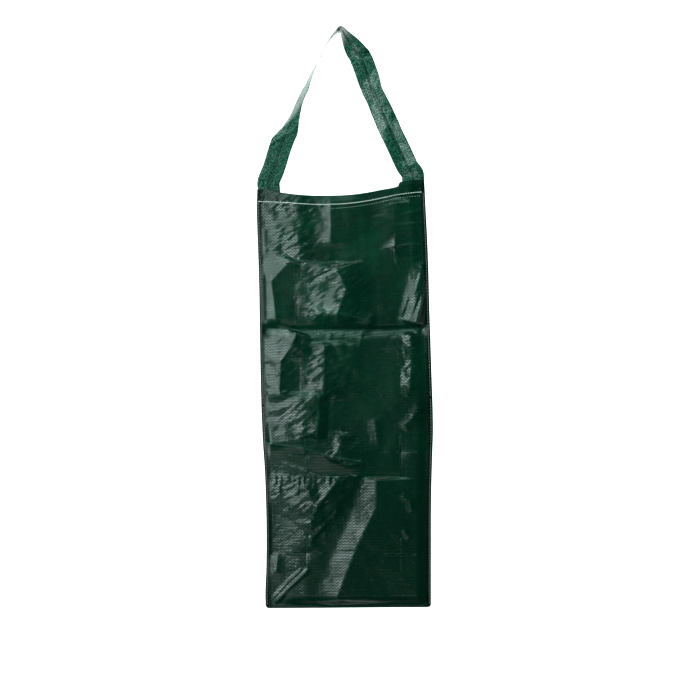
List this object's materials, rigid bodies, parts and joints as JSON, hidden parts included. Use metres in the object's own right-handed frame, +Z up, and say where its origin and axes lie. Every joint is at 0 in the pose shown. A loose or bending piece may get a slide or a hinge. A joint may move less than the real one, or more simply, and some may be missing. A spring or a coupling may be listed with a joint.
{
  "type": "hanging grow bag",
  "caption": "Flat hanging grow bag of dark green laminated woven sheet with cross-shaped planting slits on the front, a sewn hem and a twisted strap loop.",
  "frame": {"origin": "hook point under the top of the strap loop, on the inner face of the strap", "axes": "+Z up, +X to the right along the hem, the front with the slits faces -Y"},
  "size_m": [0.2453, 0.031, 0.8028],
  "materials": {
    "sheet": "dark green laminated woven polyethylene, glossy, with packing creases and a fine square weave",
    "strap_webbing": "folded strip of the same woven sheet, glossy, with a lapped edge along its middle",
    "thread": "pale green polyester sewing thread in short stitches"
  },
  "bodies": {
    "strap": {"strap": "strap_webbing"},
    "bag_upper": {"front_upper": "sheet", "back_upper": "sheet", "hem_front": "sheet", "hem_back": "sheet", "hem_thread": "thread", "strap_end_left": "strap_webbing", "strap_end_right": "strap_webbing", "seam_left_upper": "sheet", "seam_right_upper": "sheet", "thread_left_upper": "thread", "thread_right_upper": "thread"},
    "bag_middle": {"front_middle": "sheet", "back_middle": "sheet", "seam_left_middle": "sheet", "seam_right_middle": "sheet", "thread_left_middle": "thread", "thread_right_middle": "thread"},
    "bag_lower": {"front_lower": "sheet", "back_lower": "sheet", "seam_left_lower": "sheet", "seam_right_lower": "sheet", "thread_left_lower": "thread", "thread_right_lower": "thread", "bottom_fold": "sheet"},
    "flap_left_1_ne": {"flap_left_1_ne": "sheet"},
    "flap_left_1_nw": {"flap_left_1_nw": "sheet"},
    "flap_left_1_sw": {"flap_left_1_sw": "sheet"},
    "flap_left_1_se": {"flap_left_1_se": "sheet"},
    "flap_left_2_ne": {"flap_left_2_ne": "sheet"},
    "flap_left_2_nw": {"flap_left_2_nw": "sheet"},
    "flap_left_2_sw": {"flap_left_2_sw": "sheet"},
    "flap_left_2_se": {"flap_left_2_se": "sheet"},
    "flap_left_3_ne": {"flap_left_3_ne": "sheet"},
    "flap_left_3_nw": {"flap_left_3_nw": "sheet"},
    "flap_left_3_sw": {"flap_left_3_sw": "sheet"},
    "flap_left_3_se": {"flap_left_3_se": "sheet"},
    "flap_left_4_ne": {"flap_left_4_ne": "sheet"},
    "flap_left_4_nw": {"flap_left_4_nw": "sheet"},
    "flap_left_4_sw": {"flap_left_4_sw": "sheet"},
    "flap_left_4_se": {"flap_left_4_se": "sheet"},
    "flap_right_1_ne": {"flap_right_1_ne": "sheet"},
    "flap_right_1_nw": {"flap_right_1_nw": "sheet"},
    "flap_right_1_sw": {"flap_right_1_sw": "sheet"},
    "flap_right_1_se": {"flap_right_1_se": "sheet"},
    "flap_right_2_ne": {"flap_right_2_ne": "sheet"},
    "flap_right_2_nw": {"flap_right_2_nw": "sheet"},
    "flap_right_2_sw": {"flap_right_2_sw": "sheet"},
    "flap_right_2_se": {"flap_right_2_se": "sheet"},
    "flap_right_3_ne": {"flap_right_3_ne": "sheet"},
    "flap_right_3_nw": {"flap_right_3_nw": "sheet"},
    "flap_right_3_sw": {"flap_right_3_sw": "sheet"},
    "flap_right_3_se": {"flap_right_3_se": "sheet"},
    "flap_right_4_ne": {"flap_right_4_ne": "sheet"},
    "flap_right_4_nw": {"flap_right_4_nw": "sheet"},
    "flap_right_4_sw": {"flap_right_4_sw": "sheet"},
    "flap_right_4_se": {"flap_right_4_se": "sheet"}
  },
  "joints": [
    {"name": "bag_swing", "type": "hinge", "parent": "strap", "child": "bag_upper", "pos_m": [0, 0, -0.214], "axis": [0.9986, 0, 0.0523], "range_deg": [-90, 90]},
    {"name": "upper_crease", "type": "hinge", "parent": "bag_upper", "child": "bag_middle", "pos_m": [0.0056, -0.007, -0.417], "axis": [-1, 0, 0], "range_deg": [0, 170]},
    {"name": "lower_crease", "type": "hinge", "parent": "bag_middle", "child": "bag_lower", "pos_m": [0.0104, 0.007, -0.615], "axis": [1, 0, 0], "range_deg": [0, 170]},
    {"name": "flap_left_1_ne_bend", "type": "hinge", "parent": "bag_upper", "child": "flap_left_1_ne", "pos_m": [-0.04524, -0.0068, -0.31107], "axis": [0.7265, 0, -0.6871], "range_deg": [-80, 40], "stiffness_Nm_per_rad": 0.0002},
    {"name": "flap_left_1_nw_bend", "type": "hinge", "parent": "bag_upper", "child": "flap_left_1_nw", "pos_m": [-0.06845, -0.0068, -0.31172], "axis": [0.6871, 0, 0.7265], "range_deg": [-80, 40], "stiffness_Nm_per_rad": 0.0002},
    {"name": "flap_left_1_sw_bend", "type": "hinge", "parent": "bag_upper", "child": "flap_left_1_sw", "pos_m": [-0.0678, -0.0068, -0.33493], "axis": [-0.7265, 0, 0.6871], "range_deg": [-80, 40], "stiffness_Nm_per_rad": 0.0002},
    {"name": "flap_left_1_se_bend", "type": "hinge", "parent": "bag_upper", "child": "flap_left_1_se", "pos_m": [-0.04459, -0.0068, -0.33428], "axis": [-0.6871, 0, -0.7265], "range_deg": [-80, 40], "stiffness_Nm_per_rad": 0.0002},
    {"name": "flap_left_2_ne_bend", "type": "hinge", "parent": "bag_middle", "child": "flap_left_2_ne", "pos_m": [-0.04168, -0.0068, -0.44211], "axis": [0.724, 0, -0.6898], "range_deg": [-80, 40], "stiffness_Nm_per_rad": 0.0002},
    {"name": "flap_left_2_nw_bend", "type": "hinge", "parent": "bag_middle", "child": "flap_left_2_nw", "pos_m": [-0.06489, -0.0068, -0.44268], "axis": [0.6898, 0, 0.724], "range_deg": [-80, 40], "stiffness_Nm_per_rad": 0.0002},
    {"name": "flap_left_2_sw_bend", "type": "hinge", "parent": "bag_middle", "child": "flap_left_2_sw", "pos_m": [-0.06433, -0.0068, -0.46589], "axis": [-0.724, 0, 0.6898], "range_deg": [-80, 40], "stiffness_Nm_per_rad": 0.0002},
    {"name": "flap_left_2_se_bend", "type": "hinge", "parent": "bag_middle", "child": "flap_left_2_se", "pos_m": [-0.04112, -0.0068, -0.46532], "axis": [-0.6898, 0, -0.724], "range_deg": [-80, 40], "stiffness_Nm_per_rad": 0.0002},
    {"name": "flap_left_3_ne_bend", "type": "hinge", "parent": "bag_middle", "child": "flap_left_3_ne", "pos_m": [-0.03841, -0.0068, -0.57711], "axis": [0.724, 0, -0.6898], "range_deg": [-80, 40], "stiffness_Nm_per_rad": 0.0002},
    {"name": "flap_left_3_nw_bend", "type": "hinge", "parent": "bag_middle", "child": "flap_left_3_nw", "pos_m": [-0.06162, -0.0068, -0.57768], "axis": [0.6898, 0, 0.724], "range_deg": [-80, 40], "stiffness_Nm_per_rad": 0.0002},
    {"name": "flap_left_3_sw_bend", "type": "hinge", "parent": "bag_middle", "child": "flap_left_3_sw", "pos_m": [-0.06105, -0.0068, -0.60089], "axis": [-0.724, 0, 0.6898], "range_deg": [-80, 40], "stiffness_Nm_per_rad": 0.0002},
    {"name": "flap_left_3_se_bend", "type": "hinge", "parent": "bag_middle", "child": "flap_left_3_se", "pos_m": [-0.03784, -0.0068, -0.60032], "axis": [-0.6898, 0, -0.724], "range_deg": [-80, 40], "stiffness_Nm_per_rad": 0.0002},
    {"name": "flap_left_4_ne_bend", "type": "hinge", "parent": "bag_lower", "child": "flap_left_4_ne", "pos_m": [-0.03749, -0.0068, -0.71339], "axis": [0.7071, 0, -0.7071], "range_deg": [-80, 40], "stiffness_Nm_per_rad": 0.0002},
    {"name": "flap_left_4_nw_bend", "type": "hinge", "parent": "bag_lower", "child": "flap_left_4_nw", "pos_m": [-0.06071, -0.0068, -0.71339], "axis": [0.7071, 0, 0.7071], "range_deg": [-80, 40], "stiffness_Nm_per_rad": 0.0002},
    {"name": "flap_left_4_sw_bend", "type": "hinge", "parent": "bag_lower", "child": "flap_left_4_sw", "pos_m": [-0.06071, -0.0068, -0.73661], "axis": [-0.7071, 0, 0.7071], "range_deg": [-80, 40], "stiffness_Nm_per_rad": 0.0002},
    {"name": "flap_left_4_se_bend", "type": "hinge", "parent": "bag_lower", "child": "flap_left_4_se", "pos_m": [-0.03749, -0.0068, -0.73661], "axis": [-0.7071, 0, -0.7071], "range_deg": [-80, 40], "stiffness_Nm_per_rad": 0.0002},
    {"name": "flap_right_1_ne_bend", "type": "hinge", "parent": "bag_upper", "child": "flap_right_1_ne", "pos_m": [0.08618, -0.0068, -0.29007], "axis": [0.7265, 0, -0.6871], "range_deg": [-80, 40], "stiffness_Nm_per_rad": 0.0002},
    {"name": "flap_right_1_nw_bend", "type": "hinge", "parent": "bag_upper", "child": "flap_right_1_nw", "pos_m": [0.06297, -0.0068, -0.29072], "axis": [0.6871, 0, 0.7265], "range_deg": [-80, 40], "stiffness_Nm_per_rad": 0.0002},
    {"name": "flap_right_1_sw_bend", "type": "hinge", "parent": "bag_upper", "child": "flap_right_1_sw", "pos_m": [0.06362, -0.0068, -0.31393], "axis": [-0.7265, 0, 0.6871], "range_deg": [-80, 40], "stiffness_Nm_per_rad": 0.0002},
    {"name": "flap_right_1_se_bend", "type": "hinge", "parent": "bag_upper", "child": "flap_right_1_se", "pos_m": [0.08682, -0.0068, -0.31328], "axis": [-0.6871, 0, -0.7265], "range_deg": [-80, 40], "stiffness_Nm_per_rad": 0.0002},
    {"name": "flap_right_2_ne_bend", "type": "hinge", "parent": "bag_middle", "child": "flap_right_2_ne", "pos_m": [0.09003, -0.0068, -0.43011], "axis": [0.724, 0, -0.6898], "range_deg": [-80, 40], "stiffness_Nm_per_rad": 0.0002},
    {"name": "flap_right_2_nw_bend", "type": "hinge", "parent": "bag_middle", "child": "flap_right_2_nw", "pos_m": [0.06682, -0.0068, -0.43068], "axis": [0.6898, 0, 0.724], "range_deg": [-80, 40], "stiffness_Nm_per_rad": 0.0002},
    {"name": "flap_right_2_sw_bend", "type": "hinge", "parent": "bag_middle", "child": "flap_right_2_sw", "pos_m": [0.06738, -0.0068, -0.45389], "axis": [-0.724, 0, 0.6898], "range_deg": [-80, 40], "stiffness_Nm_per_rad": 0.0002},
    {"name": "flap_right_2_se_bend", "type": "hinge", "parent": "bag_middle", "child": "flap_right_2_se", "pos_m": [0.09059, -0.0068, -0.45332], "axis": [-0.6898, 0, -0.724], "range_deg": [-80, 40], "stiffness_Nm_per_rad": 0.0002},
    {"name": "flap_right_3_ne_bend", "type": "hinge", "parent": "bag_middle", "child": "flap_right_3_ne", "pos_m": [0.0935, -0.0068, -0.57311], "axis": [0.724, 0, -0.6898], "range_deg": [-80, 40], "stiffness_Nm_per_rad": 0.0002},
    {"name": "flap_right_3_nw_bend", "type": "hinge", "parent": "bag_middle", "child": "flap_right_3_nw", "pos_m": [0.07029, -0.0068, -0.57368], "axis": [0.6898, 0, 0.724], "range_deg": [-80, 40], "stiffness_Nm_per_rad": 0.0002},
    {"name": "flap_right_3_sw_bend", "type": "hinge", "parent": "bag_middle", "child": "flap_right_3_sw", "pos_m": [0.07085, -0.0068, -0.59689], "axis": [-0.724, 0, 0.6898], "range_deg": [-80, 40], "stiffness_Nm_per_rad": 0.0002},
    {"name": "flap_right_3_se_bend", "type": "hinge", "parent": "bag_middle", "child": "flap_right_3_se", "pos_m": [0.09406, -0.0068, -0.59632], "axis": [-0.6898, 0, -0.724], "range_deg": [-80, 40], "stiffness_Nm_per_rad": 0.0002},
    {"name": "flap_right_4_ne_bend", "type": "hinge", "parent": "bag_lower", "child": "flap_right_4_ne", "pos_m": [0.09451, -0.0068, -0.71539], "axis": [0.7071, 0, -0.7071], "range_deg": [-80, 40], "stiffness_Nm_per_rad": 0.0002},
    {"name": "flap_right_4_nw_bend", "type": "hinge", "parent": "bag_lower", "child": "flap_right_4_nw", "pos_m": [0.07129, -0.0068, -0.71539], "axis": [0.7071, 0, 0.7071], "range_deg": [-80, 40], "stiffness_Nm_per_rad": 0.0002},
    {"name": "flap_right_4_sw_bend", "type": "hinge", "parent": "bag_lower", "child": "flap_right_4_sw", "pos_m": [0.07129, -0.0068, -0.73861], "axis": [-0.7071, 0, 0.7071], "range_deg": [-80, 40], "stiffness_Nm_per_rad": 0.0002},
    {"name": "flap_right_4_se_bend", "type": "hinge", "parent": "bag_lower", "child": "flap_right_4_se", "pos_m": [0.09451, -0.0068, -0.73861], "axis": [-0.7071, 0, -0.7071], "range_deg": [-80, 40], "stiffness_Nm_per_rad": 0.0002}
  ],
  "couplings": [
    {"joint": "flap_left_1_nw_bend", "follows": "flap_left_1_ne_bend", "ratio": 1},
    {"joint": "flap_left_1_sw_bend", "follows": "flap_left_1_ne_bend", "ratio": 1},
    {"joint": "flap_left_1_se_bend", "follows": "flap_left_1_ne_bend", "ratio": 1},
    {"joint": "flap_left_2_nw_bend", "follows": "flap_left_2_ne_bend", "ratio": 1},
    {"joint": "flap_left_2_sw_bend", "follows": "flap_left_2_ne_bend", "ratio": 1},
    {"joint": "flap_left_2_se_bend", "follows": "flap_left_2_ne_bend", "ratio": 1},
    {"joint": "flap_left_3_nw_bend", "follows": "flap_left_3_ne_bend", "ratio": 1},
    {"joint": "flap_left_3_sw_bend", "follows": "flap_left_3_ne_bend", "ratio": 1},
    {"joint": "flap_left_3_se_bend", "follows": "flap_left_3_ne_bend", "ratio": 1},
    {"joint": "flap_left_4_nw_bend", "follows": "flap_left_4_ne_bend", "ratio": 1},
    {"joint": "flap_left_4_sw_bend", "follows": "flap_left_4_ne_bend", "ratio": 1},
    {"joint": "flap_left_4_se_bend", "follows": "flap_left_4_ne_bend", "ratio": 1},
    {"joint": "flap_right_1_nw_bend", "follows": "flap_right_1_ne_bend", "ratio": 1},
    {"joint": "flap_right_1_sw_bend", "follows": "flap_right_1_ne_bend", "ratio": 1},
    {"joint": "flap_right_1_se_bend", "follows": "flap_right_1_ne_bend", "ratio": 1},
    {"joint": "flap_right_2_nw_bend", "follows": "flap_right_2_ne_bend", "ratio": 1},
    {"joint": "flap_right_2_sw_bend", "follows": "flap_right_2_ne_bend", "ratio": 1},
    {"joint": "flap_right_2_se_bend", "follows": "flap_right_2_ne_bend", "ratio": 1},
    {"joint": "flap_right_3_nw_bend", "follows": "flap_right_3_ne_bend", "ratio": 1},
    {"joint": "flap_right_3_sw_bend", "follows": "flap_right_3_ne_bend", "ratio": 1},
    {"joint": "flap_right_3_se_bend", "follows": "flap_right_3_ne_bend", "ratio": 1},
    {"joint": "flap_right_4_nw_bend", "follows": "flap_right_4_ne_bend", "ratio": 1},
    {"joint": "flap_right_4_sw_bend", "follows": "flap_right_4_ne_bend", "ratio": 1},
    {"joint": "flap_right_4_se_bend", "follows": "flap_right_4_ne_bend", "ratio": 1}
  ]
}
